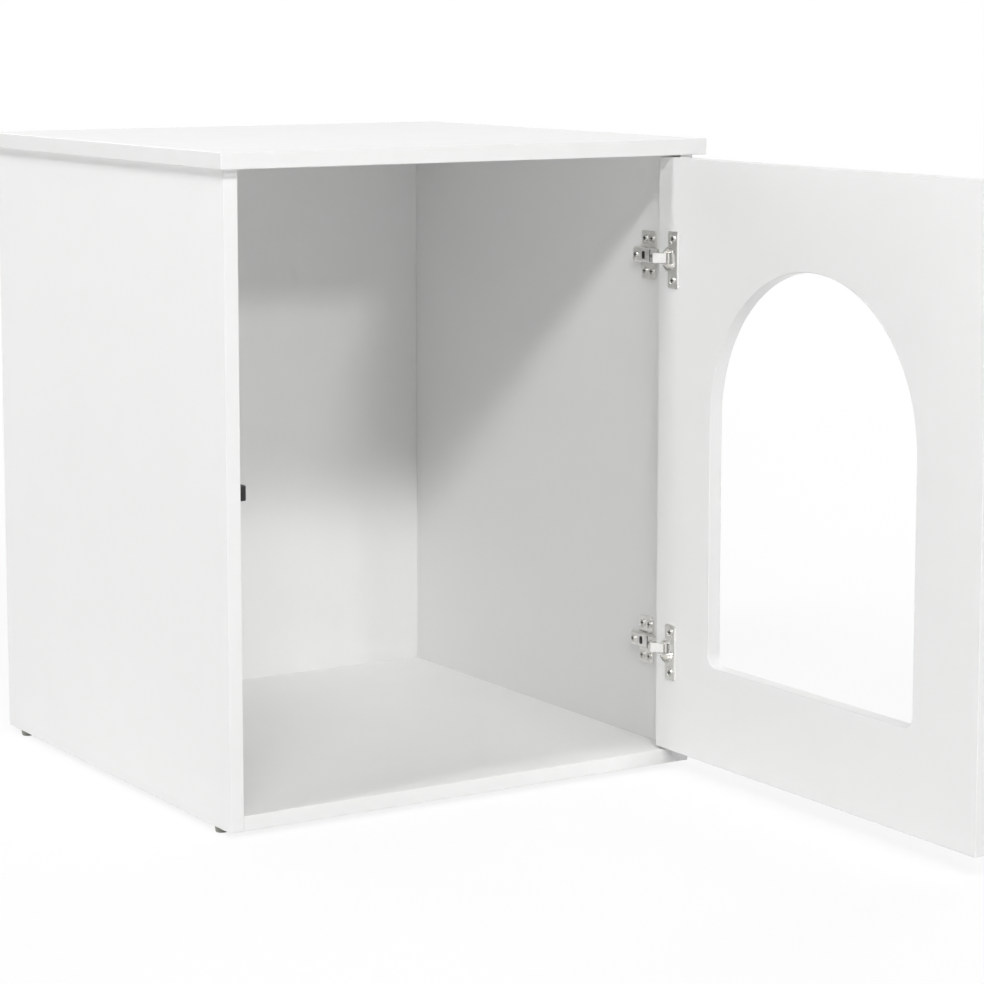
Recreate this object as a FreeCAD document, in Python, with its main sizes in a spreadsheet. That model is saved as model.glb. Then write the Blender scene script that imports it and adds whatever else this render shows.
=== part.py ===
"""Cat house: a white panel cabinet with an arched door on two cup hinges.

The frame stands +Z up with X to the right and the front facing -Y. Its origin is on the floor,
under the middle of the cabinet. The door is modelled open by a quarter turn.
"""
import FreeCAD, Part
import os
import re

SIZES = {
    # Cabinet panels
    "body_width": 533,
    "side_height": 628,
    "side_depth": 521,
    "side_thickness": 15,
    "base_thickness": 15,
    "top_thickness": 16,
    "top_side_overhang": 8.5,
    "top_front_overhang": 12.5,
    "back_thickness": 3,
    "back_inset": 3,
    # Nails that hold the back panel
    "nail_radius": 0.8,
    "nail_length": 14,
    "nail_head_radius": 2.5,
    "nail_head_height": 0.8,
    # Nail-on feet
    "foot_height": 6,
    "foot_radius": 7,
    "foot_tip_radius": 6,
    "foot_inset": 32,
    "foot_nail_radius": 1,
    "foot_nail_length": 18,
    "foot_nail_cover": 2,
    # Knock-down joints: dowels, and bolts drawn tight by cams
    "joint_station": 70,
    "dowel_pitch": 32,
    "dowel_radius": 4,
    "dowel_length": 30,
    "dowel_embed": 10,
    "cam_radius": 7.5,
    "cam_length": 11,
    "cam_reach": 24,
    "cam_cap_thickness": 1.5,
    "bolt_radius": 3,
    "bolt_embed": 10,
    # Door leaf and its arch
    "door_thickness": 15,
    "door_side_gap": 3.5,
    "door_end_gap": 2,
    "arch_side_rail": 90,
    "arch_end_rail": 100,
    "arch_corner_radius": 12,
    # Hinge pivot, measured from the side's inner face and from the front plane
    "pivot_from_side": 9.1,
    "pivot_depth": 6.6,
    "hinge_end_distance": 103,
    # Hinge cup, let into the door
    "cup_diameter": 35,
    "cup_wall": 1.4,
    "cup_floor": 1,
    "cup_far_wall": 4,
    "rim_diameter": 37,
    "flange_length": 58,
    "flange_width": 20,
    "flange_thickness": 1.2,
    "flange_offset": 5.3,
    "flange_screw_pitch": 42,
    # Hinge pin, and the knuckle that turns on it
    "pin_radius": 0.9,
    "pin_length": 16,
    "knuckle_radius": 1.5,
    "knuckle_clearance": 0.5,
    "running_clearance": 0.05,
    # Hinge arm
    "arm_thickness": 1.6,
    "nose_width": 10,
    "leg_from_pivot": 11.5,
    "bridge_clearance": 2.3,
    "cheek_gap": 1,
    "cheek_start": 9,
    "arm_rear_overhang": 6,
    "arm_slot_length": 9,
    "arm_slot_width": 5,
    "arm_slot_depth": 3,
    # Hinge mounting plate
    "plate_thickness": 2,
    "plate_length": 50,
    "plate_width": 24,
    "plate_setback": 40,
    "plate_block_width": 12,
    "plate_block_height": 5,
    "plate_block_overhang": 10,
    "plate_screw_pitch": 34,
    "plate_screw_spread": 12,
    # Screws of the hinges and the door stop
    "screw_radius": 1.75,
    "screw_length": 12,
    "screw_head_radius": 3.4,
    "screw_head_height": 1.4,
    "arm_screw_radius": 2,
    "arm_screw_head_radius": 3.2,
    "arm_screw_head_height": 1.8,
    "arm_screw_setback": 5,
    # Door stop on the left side
    "stop_height": 15,
    "stop_reach": 14.6,
    "stop_length": 34,
    "stop_pad_thickness": 1.5,
    "stop_pad_margin": 1.5,
    "stop_pad_gap": 0.4,
    "stop_screw_pitch": 18,
    # Clearances shared by all pieces
    "fit_clearance": 0.1,
    "cut_overrun": 2,
}

FORMULAS = {
    "front": "-side_depth / 2",
    "rear": "side_depth / 2",
    "left_inner": "-body_width / 2 + side_thickness",
    "right_inner": "body_width / 2 - side_thickness",
    "inner_width": "body_width - 2 * side_thickness",
    "side_top": "foot_height + side_height",
    "base_top": "foot_height + base_thickness",
    # The open door's edges and faces
    "door_bottom": "base_top + door_end_gap",
    "door_height": "side_height - base_thickness - 2 * door_end_gap",
    "door_width": "inner_width - 2 * door_side_gap",
    "pivot_x": "right_inner - pivot_from_side",
    "pivot_y": "front + pivot_depth",
    "door_inner_face": "pivot_x - door_thickness + pivot_depth",
    "door_hinge_edge": "pivot_y + pivot_from_side - door_side_gap",
    "door_free_edge": "door_hinge_edge - door_width",
    "arch_radius": "door_width / 2 - arch_side_rail",
    "arch_middle": "door_hinge_edge - door_width / 2",
    "arch_bottom": "door_bottom + arch_end_rail",
    "arch_spring": "door_bottom + door_height - arch_end_rail - arch_radius",
    # Hinge heights and the cup's place in the door
    "upper_hinge": "door_bottom + door_height - hinge_end_distance",
    "lower_hinge": "door_bottom + hinge_end_distance",
    "knuckle_room": "knuckle_radius + knuckle_clearance",
    "cup_radius": "cup_diameter / 2",
    "cup_y": "pivot_y - cup_radius + knuckle_room + cup_wall",
    "cup_depth": "door_thickness - pivot_depth + knuckle_room + cup_floor",
    "flange_y": "cup_y - flange_offset",
    "flange_face": "door_inner_face - flange_thickness",
    "pocket_width": "nose_width + 2 * knuckle_clearance",
    "pocket_near": "pivot_y + knuckle_room",
    "pocket_far": "cup_y - cup_radius + cup_far_wall",
    # Hinge arm and plate, stepping out from the right side's inner face
    "leg_inner": "pivot_x - leg_from_pivot",
    "leg_outer": "leg_inner - arm_thickness",
    "bridge_front": "front + door_thickness + flange_thickness + bridge_clearance",
    "bridge_rear": "bridge_front + arm_thickness",
    "plate_front": "front + plate_setback",
    "plate_rear": "plate_front + plate_width",
    "plate_middle": "plate_front + plate_width / 2",
    "block_face": "right_inner - plate_thickness - plate_block_height",
    "block_front": "plate_front - plate_block_overhang",
    "block_rear": "plate_rear + arm_rear_overhang",
    "web_face": "block_face - arm_thickness",
    "web_width": "plate_block_width + 2 * fit_clearance + 2 * arm_thickness",
    # Door stop
    "stop_middle": "door_bottom + door_height / 2",
    "pad_front": "front + door_thickness + stop_pad_gap",
    "stop_front": "pad_front + stop_pad_thickness",
}

NAIL_HEIGHT_SHARES = (0.05, 0.275, 0.5, 0.725, 0.95)
BASE_NAIL_SHARES = (-0.3, 0, 0.3)

# Turns that point a cylinder's own +Z along each axis
TURNS = {
    "+x": (0, 1, 0, 90),
    "-x": (0, 1, 0, -90),
    "+y": (1, 0, 0, -90),
    "-y": (1, 0, 0, 90),
    "+z": (0, 0, 1, 0),
    "-z": (1, 0, 0, 180),
}
OPPOSITE = {"+": "-", "-": "+"}

doc = FreeCAD.newDocument("cat_house")
sheet = doc.addObject("Spreadsheet::Sheet", "dims")
nodes = []


def fill_sheet():
    """Write each driving dimension into the sheet under its alias."""
    for row, (alias, value) in enumerate(SIZES.items(), start=1):
        sheet.set(f"A{row}", alias)
        sheet.set(f"B{row}", str(value))
        sheet.setAlias(f"B{row}", alias)
    doc.recompute()


def on_sheet(formula):
    """Spell a formula in size names out as one on the sheet's cells."""
    def spell(match):
        word = match.group(0)
        if word in FORMULAS:
            return f"({on_sheet(FORMULAS[word])})"
        return f"dims.{word}"
    return re.sub(r"[a-z][a-z_]*", spell, str(formula))


def bind(piece, **formulas):
    """Tie properties of a piece to the sheet; x, y and z are its place."""
    for key, formula in formulas.items():
        path = f"Placement.Base.{key}" if key in ("x", "y", "z") else key
        piece.setExpression(path, on_sheet(formula))
    return piece


def block(length, width, height, x, y, z):
    """A box with its lowest corner at x, y, z."""
    piece = doc.addObject("Part::Box", "block")
    return bind(piece, Length=length, Width=width, Height=height, x=x, y=y, z=z)


def rod(radius, height, x, y, z, along):
    """A cylinder that starts at x, y, z and runs along an axis."""
    piece = doc.addObject("Part::Cylinder", "rod")
    *axis, angle = TURNS[along]
    piece.Placement.Rotation = FreeCAD.Rotation(FreeCAD.Vector(*axis), angle)
    return bind(piece, Radius=radius, Height=height, x=x, y=y, z=z)


def fuse(pieces):
    """Join touching pieces into one solid."""
    joined = doc.addObject("Part::MultiFuse", "fuse")
    joined.Shapes = pieces
    joined.Refine = True
    return joined


def cut(base, tools):
    """Take one or more tools out of a base."""
    made = doc.addObject("Part::Cut", "cut")
    made.Base = base
    made.Tool = tools[0] if len(tools) == 1 else fuse(tools)
    made.Refine = True
    return made


def node(piece, label):
    """Name a finished sub-part."""
    piece.Label = label
    nodes.append(piece)
    return piece


def group_node(pieces, label):
    """Name a set of identical pieces as one sub-part of separate solids."""
    compound = doc.addObject("Part::Compound", "group")
    compound.Links = pieces
    return node(compound, label)


def screw(x, y, z, along, radius="screw_radius", length="screw_length",
          head_radius="screw_head_radius", head_height="screw_head_height"):
    """A headed fastener whose head seats at x, y, z and whose shank runs along an axis."""
    back = OPPOSITE[along[0]] + along[1]
    shank = rod(radius, length, x, y, z, along)
    head = rod(head_radius, head_height, x, y, z, back)
    return fuse([shank, head])


def screw_hole(x, y, z, along, radius="screw_radius", length="screw_length"):
    """The hole that clears such a fastener's shank."""
    return rod(f"{radius} + fit_clearance", f"{length} + fit_clearance", x, y, z, along)


class Side:
    """One of the two sides: its faces, and the way from its inner face into the panel."""

    def __init__(self, name, sign, into):
        self.name = name
        self.into = into
        self.back_into = OPPOSITE[into[0]] + into[1]
        self.low_x = "-body_width / 2" if sign < 0 else "right_inner"
        self.inner = "left_inner" if sign < 0 else "right_inner"
        self.middle = f"{self.low_x} + side_thickness / 2"
        # A step of one length from the inner face, into the panel or out of it
        self.step_in = "-" if sign < 0 else "+"
        self.step_out = "+" if sign < 0 else "-"


LEFT = Side("left", -1, "-x")
RIGHT = Side("right", 1, "+x")
SIDES = (LEFT, RIGHT)

BOLT_STATIONS = ("front + joint_station", "rear - joint_station")
DOWEL_STATIONS = (
    "front + joint_station + dowel_pitch",
    "rear - joint_station - dowel_pitch",
)
FOOT_STATIONS = {"front": "front + foot_inset", "rear": "rear - foot_inset"}
HINGE_HEIGHTS = {"upper": "upper_hinge", "lower": "lower_hinge"}

side_cuts = {"left": [], "right": []}
top_cuts = []
base_cuts = []
back_cuts = []
door_cuts = []


def make_top_joints():
    """Dowels, bolts, cams and flush caps that hold the top on the two sides."""
    dowels, bolts, cams, caps = [], [], [], []
    dowel_foot = "side_top + dowel_embed - dowel_length"
    cam_height = "side_top - cam_reach"
    for side in SIDES:
        cuts = side_cuts[side.name]
        for y in DOWEL_STATIONS:
            dowels.append(rod("dowel_radius", "dowel_length", side.middle, y, dowel_foot, "+z"))
            hole = ("dowel_radius + fit_clearance", "dowel_length + 2 * fit_clearance",
                    side.middle, y, f"{dowel_foot} - fit_clearance", "+z")
            cuts.append(rod(*hole))
            top_cuts.append(rod(*hole))
        for y in BOLT_STATIONS:
            bolts.append(rod("bolt_radius", "cam_reach + bolt_embed", side.middle, y, cam_height, "+z"))
            hole = ("bolt_radius + fit_clearance", "cam_reach + bolt_embed + 2 * fit_clearance",
                    side.middle, y, f"{cam_height} - fit_clearance", "+z")
            cuts.append(rod(*hole))
            top_cuts.append(rod(*hole))
            cuts.append(rod("cam_radius", "cam_cap_thickness + cam_length + fit_clearance + cut_overrun",
                            f"{side.inner} {side.step_out} cut_overrun", y, cam_height, side.into))
            disc = rod("cam_radius - fit_clearance", "cam_length",
                       f"{side.inner} {side.step_in} cam_cap_thickness", y, cam_height, side.into)
            cams.append(cut(disc, [rod(*hole)]))
            caps.append(rod("cam_radius - fit_clearance", "cam_cap_thickness",
                            side.inner, y, cam_height, side.into))
    group_node(dowels, "top_dowels")
    group_node(bolts, "top_cam_bolts")
    group_node(cams, "top_cams")
    group_node(caps, "cam_caps")


def make_base_joints():
    """Dowels, bolts and cams that hold the base between the two sides."""
    dowels, bolts, cams = [], [], []
    z = "foot_height + base_thickness / 2"
    for side in SIDES:
        cuts = side_cuts[side.name]
        dowel_start = f"{side.inner} {side.step_in} dowel_embed"
        for y in DOWEL_STATIONS:
            dowels.append(rod("dowel_radius", "dowel_length", dowel_start, y, z, side.back_into))
            hole = ("dowel_radius + fit_clearance", "dowel_length + 2 * fit_clearance",
                    f"{dowel_start} {side.step_in} fit_clearance", y, z, side.back_into)
            cuts.append(rod(*hole))
            base_cuts.append(rod(*hole))
        cam_x = f"{side.inner} {side.step_out} cam_reach"
        for y in BOLT_STATIONS:
            bolts.append(rod("bolt_radius", "cam_reach + bolt_embed", cam_x, y, z, side.into))
            hole = ("bolt_radius + fit_clearance", "cam_reach + bolt_embed + 2 * fit_clearance",
                    f"{cam_x} {side.step_out} fit_clearance", y, z, side.into)
            cuts.append(rod(*hole))
            base_cuts.append(rod(*hole))
            base_cuts.append(rod("cam_radius", "cam_length + fit_clearance + cut_overrun",
                                 cam_x, y, "foot_height - cut_overrun", "+z"))
            disc = rod("cam_radius - fit_clearance", "cam_length", cam_x, y, "foot_height", "+z")
            cams.append(cut(disc, [rod(*hole)]))
    group_node(dowels, "base_dowels")
    group_node(bolts, "base_cam_bolts")
    group_node(cams, "base_cams")


def make_back_nails():
    """Nails through the back panel into the rear edges of the sides and the base."""
    nails = []
    seat = "rear + back_thickness"
    places = []
    for side in SIDES:
        for share in NAIL_HEIGHT_SHARES:
            places.append((side.middle, f"foot_height + {share} * side_height", side_cuts[side.name]))
    for share in BASE_NAIL_SHARES:
        places.append((f"{share} * inner_width", "foot_height + base_thickness / 2", base_cuts))
    for x, z, cuts in places:
        nails.append(screw(x, seat, z, "-y", "nail_radius", "nail_length",
                           "nail_head_radius", "nail_head_height"))
        cuts.append(screw_hole(x, seat, z, "-y", "nail_radius", "nail_length"))
        back_cuts.append(screw_hole(x, seat, z, "-y", "nail_radius", "nail_length"))
    group_node(nails, "back_panel_nails")


def make_feet():
    """Four tapered glides, each on a nail driven into a side's lower edge."""
    nails = []
    for place, y in FOOT_STATIONS.items():
        for side in SIDES:
            glide = doc.addObject("Part::Cone", "glide")
            bind(glide, Radius1="foot_tip_radius", Radius2="foot_radius", Height="foot_height",
                 x=side.middle, y=y, z=0)
            start = (side.middle, y, "foot_nail_cover", "+z")
            bore = rod("foot_nail_radius + fit_clearance", "foot_nail_length + fit_clearance", *start)
            node(cut(glide, [bore]), f"{place}_{side.name}_foot")
            nails.append(rod("foot_nail_radius", "foot_nail_length", *start))
            side_cuts[side.name].append(
                rod("foot_nail_radius + fit_clearance", "foot_nail_length + fit_clearance", *start))
    group_node(nails, "foot_nails")


def make_hinge_plate(name, z):
    """The winged plate on the right side that carries a hinge arm, and its four screws."""
    wing = block("plate_thickness", "plate_width", "plate_length",
                 "right_inner - plate_thickness", "plate_front", f"{z} - plate_length / 2")
    rail = block("plate_block_height + plate_thickness", "block_rear - block_front", "plate_block_width",
                 "block_face", "block_front", f"{z} - plate_block_width / 2")
    seat = "right_inner - plate_thickness"
    screws, holes = [], []
    for way in ("+", "-"):
        for shift in ("+", "-"):
            y = f"plate_middle {shift} plate_screw_spread / 2"
            height = f"{z} {way} plate_screw_pitch / 2"
            screws.append(screw(seat, y, height, "+x"))
            holes.append(screw_hole(seat, y, height, "+x"))
            side_cuts["right"].append(screw_hole(seat, y, height, "+x"))
    arm_holes = [screw_hole(*place) for place in arm_screw_places(z)]
    arm_slot = make_arm_slot(z)
    node(cut(fuse([wing, rail]), holes + arm_holes + [arm_slot]), f"{name}_hinge_plate")
    return screws


def arm_screw_places(z):
    """Seat, way, radius and length of an arm's rear fixing screw and front adjusting screw."""
    length = "arm_thickness + plate_block_height"
    ways = ("+x", "arm_screw_radius", length)
    return (
        ("web_face", "block_rear - arm_screw_setback", z, *ways),
        ("web_face", "block_front + arm_screw_setback", z, *ways),
    )


def make_arm_slot(z):
    """The open slot in the middle of an arm, with the recess below it in the plate."""
    return block("arm_thickness + arm_slot_depth + cut_overrun", "arm_slot_length", "arm_slot_width",
                 "web_face - cut_overrun", "plate_middle - arm_slot_length / 2",
                 f"{z} - arm_slot_width / 2")


def make_hinge_arm(name, z):
    """The cranked arm: a channel on its plate, a bridge, a leg and a nose that ends in the knuckle."""
    low = f"{z} - nose_width / 2"
    web_low = f"{z} - web_width / 2"
    cheek_front = "bridge_rear + cheek_start"
    cheek_depth = "right_inner - plate_thickness - cheek_gap - web_face"
    web = block("arm_thickness", "block_rear - bridge_front", "web_width",
                "web_face", "bridge_front", web_low)
    cheeks = [
        block(cheek_depth, f"block_rear - ({cheek_front})", "arm_thickness",
              "web_face", cheek_front, height)
        for height in (web_low, f"{z} + web_width / 2 - arm_thickness")
    ]
    bridge = block("web_face + arm_thickness - leg_outer", "arm_thickness", "nose_width",
                   "leg_outer", "bridge_front", low)
    leg = block("arm_thickness", "bridge_rear - pivot_y + arm_thickness / 2", "nose_width",
                "leg_outer", "pivot_y - arm_thickness / 2", low)
    nose = block("pivot_x - leg_outer", "arm_thickness", "nose_width",
                 "leg_outer", "pivot_y - arm_thickness / 2", low)
    knuckle = rod("knuckle_radius", "nose_width", "pivot_x", "pivot_y", low, "+z")
    pin_hole = rod("pin_radius + running_clearance", "nose_width + 2 * cut_overrun",
                   "pivot_x", "pivot_y", f"{low} - cut_overrun", "+z")
    holes = [screw_hole(*place) for place in arm_screw_places(z)]
    whole = fuse([web, bridge, leg, nose, knuckle, *cheeks])
    node(cut(whole, [pin_hole, make_arm_slot(z), *holes]), f"{name}_hinge_arm")


def make_hinge_cup(name, z):
    """The cup in the door with its rim and screw flange, and the pin across its pocket."""
    well = rod("cup_radius - fit_clearance", "cup_depth - fit_clearance + flange_thickness",
               "flange_face", "cup_y", z, "+x")
    rim = rod("rim_diameter / 2", "flange_thickness", "flange_face", "cup_y", z, "+x")
    flange = block("flange_thickness", "flange_width", "flange_length",
                   "flange_face", "flange_y - flange_width / 2", f"{z} - flange_length / 2")
    pocket = block("pivot_x + knuckle_room - flange_face + cut_overrun", "pocket_near - pocket_far",
                   "pocket_width", "flange_face - cut_overrun", "pocket_far", f"{z} - pocket_width / 2")
    pin_hole = rod("pin_radius + fit_clearance", "pin_length + 2 * fit_clearance",
                   "pivot_x", "pivot_y", f"{z} - pin_length / 2 - fit_clearance", "+z")
    node(rod("pin_radius", "pin_length", "pivot_x", "pivot_y", f"{z} - pin_length / 2", "+z"),
         f"{name}_hinge_pin")
    door_cuts.append(rod("cup_radius", "cup_depth + cut_overrun",
                         "door_inner_face - cut_overrun", "cup_y", z, "+x"))
    screws, holes = [], []
    for way in ("+", "-"):
        place = ("flange_face", "flange_y", f"{z} {way} flange_screw_pitch / 2", "+x")
        screws.append(screw(*place))
        holes.append(screw_hole(*place))
        door_cuts.append(screw_hole(*place))
    node(cut(fuse([well, rim, flange]), [pocket, pin_hole, *holes]), f"{name}_hinge_cup")
    return screws


def make_hinges():
    """Both cup hinges with all their screws."""
    plate_screws, cup_screws, fixing_screws, adjusting_screws = [], [], [], []
    for name, z in HINGE_HEIGHTS.items():
        plate_screws += make_hinge_plate(name, z)
        make_hinge_arm(name, z)
        cup_screws += make_hinge_cup(name, z)
        head = ("arm_screw_head_radius", "arm_screw_head_height")
        fixing, adjusting = [screw(*place, *head) for place in arm_screw_places(z)]
        fixing_screws.append(fixing)
        adjusting_screws.append(adjusting)
    group_node(plate_screws, "hinge_plate_screws")
    group_node(cup_screws, "hinge_cup_screws")
    group_node(fixing_screws, "hinge_fixing_screws")
    group_node(adjusting_screws, "hinge_adjusting_screws")


def make_door_stop():
    """The black stop on the left side, with its soft pad and two screws."""
    low = "stop_middle - stop_height / 2"
    body = block("stop_reach", "stop_length", "stop_height", "left_inner", "stop_front", low)
    seat = "left_inner + stop_reach"
    screws, holes = [], []
    for shift in ("+", "-"):
        y = f"stop_front + stop_length / 2 {shift} stop_screw_pitch / 2"
        length = "stop_reach + screw_length"
        place = (seat, y, "stop_middle", "-x", "screw_radius", length)
        screws.append(screw(*place))
        holes.append(screw_hole(*place))
        side_cuts["left"].append(screw_hole(*place))
    node(cut(body, holes), "door_stop")
    group_node(screws, "door_stop_screws")
    pad = block("stop_reach - 2 * stop_pad_margin", "stop_pad_thickness", "stop_height - 2 * stop_pad_margin",
                "left_inner + stop_pad_margin", "pad_front", f"{low} + stop_pad_margin")
    node(pad, "door_stop_pad")


def make_door():
    """The door leaf with its arch, which has a round head and small round lower corners."""
    leaf = block("door_thickness", "door_width", "door_height",
                 "door_inner_face", "door_free_edge", "door_bottom")
    start = "door_inner_face - cut_overrun"
    through = "door_thickness + 2 * cut_overrun"
    low_y = "arch_middle - arch_radius"
    head = rod("arch_radius", through, start, "arch_middle", "arch_spring", "+x")
    shaft = block(through, "2 * arch_radius", "arch_spring - arch_bottom - arch_corner_radius",
                  start, low_y, "arch_bottom + arch_corner_radius")
    sill = block(through, "2 * arch_radius - 2 * arch_corner_radius", "2 * arch_corner_radius",
                 start, f"{low_y} + arch_corner_radius", "arch_bottom")
    corners = [
        rod("arch_corner_radius", through, start, f"arch_middle {way} (arch_radius - arch_corner_radius)",
            "arch_bottom + arch_corner_radius", "+x")
        for way in ("+", "-")
    ]
    arch = fuse([head, shaft, sill, *corners])
    node(cut(leaf, [arch, *door_cuts]), "door_panel")


def make_panels():
    """The five cabinet panels, drilled for everything that is fixed in them."""
    for side in SIDES:
        plain = block("side_thickness", "side_depth", "side_height", side.low_x, "front", "foot_height")
        node(cut(plain, side_cuts[side.name]), f"{side.name}_side_panel")
    top = block("body_width + 2 * top_side_overhang", "top_front_overhang + side_depth + back_thickness",
                "top_thickness", "-body_width / 2 - top_side_overhang", "front - top_front_overhang",
                "side_top")
    node(cut(top, top_cuts), "top_panel")
    base = block("inner_width", "side_depth", "base_thickness", "left_inner", "front", "foot_height")
    node(cut(base, base_cuts), "base_panel")
    back = block("body_width - 2 * back_inset", "back_thickness", "side_height - back_inset",
                 "-body_width / 2 + back_inset", "rear", "foot_height + back_inset")
    node(cut(back, back_cuts), "back_panel")


def check():
    """Stop if any object failed or any sub-part is empty or broken."""
    for piece in doc.Objects:
        if "Invalid" in piece.State or "Error" in piece.State:
            raise RuntimeError(f"{piece.Name} ({piece.Label}) failed: {piece.State}")
    for piece in nodes:
        if piece.Shape.isNull() or not piece.Shape.isValid() or not piece.Shape.Solids:
            raise RuntimeError(f"{piece.Label} has no sound solid")


def write():
    """Write each sub-part to its own file."""
    os.makedirs("parts", exist_ok=True)
    for piece in nodes:
        piece.Shape.exportStep(f"parts/{piece.Label}.step")


fill_sheet()
make_top_joints()
make_base_joints()
make_back_nails()
make_feet()
make_hinges()
make_door_stop()
make_door()
make_panels()
doc.recompute()
check()
write()
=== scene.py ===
"""Cat house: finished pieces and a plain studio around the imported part.

All sizes are in metres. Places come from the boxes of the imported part's nodes. Each sub-assembly is
a class that models its pieces and hands them over with their finish.
"""

from __future__ import annotations

import logging
import math
from contextlib import contextmanager
from dataclasses import dataclass
from enum import Enum
from typing import Callable, ClassVar, Iterable, Iterator, Sequence

import bmesh
import bpy
from mathutils import Matrix, Vector

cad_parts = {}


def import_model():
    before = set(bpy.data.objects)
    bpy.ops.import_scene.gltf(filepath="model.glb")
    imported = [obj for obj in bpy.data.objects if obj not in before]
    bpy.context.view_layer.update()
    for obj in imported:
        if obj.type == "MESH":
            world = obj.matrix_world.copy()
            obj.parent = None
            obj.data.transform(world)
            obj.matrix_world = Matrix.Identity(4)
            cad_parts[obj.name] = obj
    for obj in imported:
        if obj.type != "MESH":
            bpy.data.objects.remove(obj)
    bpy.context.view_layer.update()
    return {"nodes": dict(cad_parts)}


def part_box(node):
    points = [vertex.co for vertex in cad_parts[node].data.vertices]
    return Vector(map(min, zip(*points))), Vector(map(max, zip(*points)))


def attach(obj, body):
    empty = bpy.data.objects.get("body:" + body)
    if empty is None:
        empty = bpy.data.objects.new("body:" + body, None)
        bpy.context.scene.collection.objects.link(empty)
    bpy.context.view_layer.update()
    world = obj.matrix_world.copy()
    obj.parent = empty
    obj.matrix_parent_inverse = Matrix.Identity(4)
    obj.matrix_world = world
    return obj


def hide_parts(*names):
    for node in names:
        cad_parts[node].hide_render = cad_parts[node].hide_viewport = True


LOG = logging.getLogger("cat_house")

MM = 0.001
# How far a cutting tool stands out of what it cuts.
CUT_OVERRUN = 2 * MM
# How near two places are when they count as the same.
NEAR = MM / 10
MERGE_DISTANCE = 0.001 * MM
# The share of a direction that lies along an axis when it counts as following it.
ALIGNED = 0.999
# A bend above the first angle is rounded, and one below the second is shaded smooth.
SHARP_ANGLE = math.radians(50)
SOFT_ANGLE = math.radians(35)
ROD_SIDES = 48
CUP_SIDES = 64

Color = tuple[float, float, float]
Place = tuple[float, float, float]
Piece = bpy.types.Object
Socket = bpy.types.NodeSocket
Edge = bmesh.types.BMEdge
Face = bmesh.types.BMFace
EdgeTest = Callable[[Edge], bool]
FaceTest = Callable[[Face], bool]


class Body(Enum):
    """The two bodies that the door hinge joins."""

    CABINET = "cabinet"
    DOOR = "door"


class Slot(Enum):
    """Material slots of the record."""

    LAMINATE = "white_laminate"
    HARDBOARD = "white_hardboard"
    GREY_PLASTIC = "grey_plastic"
    ZINC = "zinc_steel"
    CAST_ZINC = "cast_zinc"
    WHITE_PLASTIC = "white_plastic"
    BEECH = "beech"
    NICKEL = "nickel_steel"
    SCREWS = "nickel_screws"
    BLACK_PLASTIC = "black_plastic"
    RUBBER = "black_rubber"


class Axis(Enum):
    """An axis of the frame, by its place in a vector."""

    X = 0
    Y = 1
    Z = 2

    def vector(self, length: float = 1.0) -> Vector:
        """Return a vector of that length along the axis."""
        return Vector(length if place == self.value else 0.0 for place in range(3))

    def along(self, edge: Edge) -> bool:
        """Tell whether an edge runs along the axis."""
        run = (edge.verts[1].co - edge.verts[0].co).normalized()
        return abs(run[self.value]) > ALIGNED


class Hinge(Enum):
    """The two hinges of the door."""

    UPPER = "upper"
    LOWER = "lower"

    def node(self, part: str) -> str:
        """Return the name of the node that is one part of the hinge."""
        return f"{self.value}_hinge_{part}"


class Choice(Enum):
    """What is selected in edit mode."""

    EDGES = "EDGE"
    FACES = "FACE"


class Merge(Enum):
    """How a tool is used up on a piece."""

    WELD = "UNION"
    CARVE = "DIFFERENCE"


# Modelling


def pick(piece: Piece) -> None:
    """Make one piece the only selected and active one.

    Args:
        piece: The piece to pick.
    """
    bpy.ops.object.select_all(action="DESELECT")
    piece.select_set(True)
    bpy.context.view_layer.objects.active = piece


def settle(piece: Piece) -> None:
    """Put a piece's place, turn and size into its mesh."""
    pick(piece)
    bpy.ops.object.transform_apply(location=True, rotation=True, scale=True)


def take_up(name: str) -> Piece:
    """Name and settle the primitive that was just added.

    Args:
        name: Name of the new piece.

    Returns:
        The new piece, settled at the origin.
    """
    piece = bpy.context.object
    piece.name = name
    settle(piece)
    return piece


def add_box(name: str, low: Vector, high: Vector) -> Piece:
    """Add a box between two corners.

    Args:
        name: Name of the new piece.
        low: Lowest corner.
        high: Highest corner.

    Returns:
        The new piece, settled at the origin.
    """
    bpy.ops.object.select_all(action="DESELECT")
    bpy.ops.mesh.primitive_cube_add(size=1.0, location=(low + high) / 2, scale=high - low)
    return take_up(name)


def add_rod(name: str, radius: float, start: Vector, run: Vector, sides: int = ROD_SIDES) -> Piece:
    """Add a round rod.

    Args:
        name: Name of the new piece.
        radius: Radius of the rod.
        start: Middle of its first end.
        run: From the first end to the other.
        sides: Number of facets around it.

    Returns:
        The new piece, settled at the origin.
    """
    bpy.ops.object.select_all(action="DESELECT")
    bpy.ops.mesh.primitive_cylinder_add(
        vertices=sides, radius=radius, depth=run.length, location=start + run / 2,
        rotation=Axis.Z.vector().rotation_difference(run).to_euler())
    return take_up(name)


@contextmanager
def editing(piece: Piece, choice: Choice) -> Iterator[bmesh.types.BMesh]:
    """Hold a piece in edit mode with nothing selected.

    Args:
        piece: The piece to edit.
        choice: What is selected.

    Yields:
        The mesh that is being edited.
    """
    pick(piece)
    bpy.ops.object.mode_set(mode="EDIT")
    bpy.ops.mesh.select_mode(type=choice.value)
    bpy.ops.mesh.select_all(action="DESELECT")
    yield bmesh.from_edit_mesh(piece.data)
    bpy.ops.object.mode_set(mode="OBJECT")


def choose(piece: Piece, parts: Iterable[Edge | Face], test: EdgeTest | FaceTest) -> None:
    """Select the edges or faces that pass a test.

    Args:
        piece: The piece that is being edited.
        parts: Its edges or its faces.
        test: Picks among them.
    """
    for part in parts:
        part.select_set(test(part))
    bmesh.update_edit_mesh(piece.data)


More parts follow.
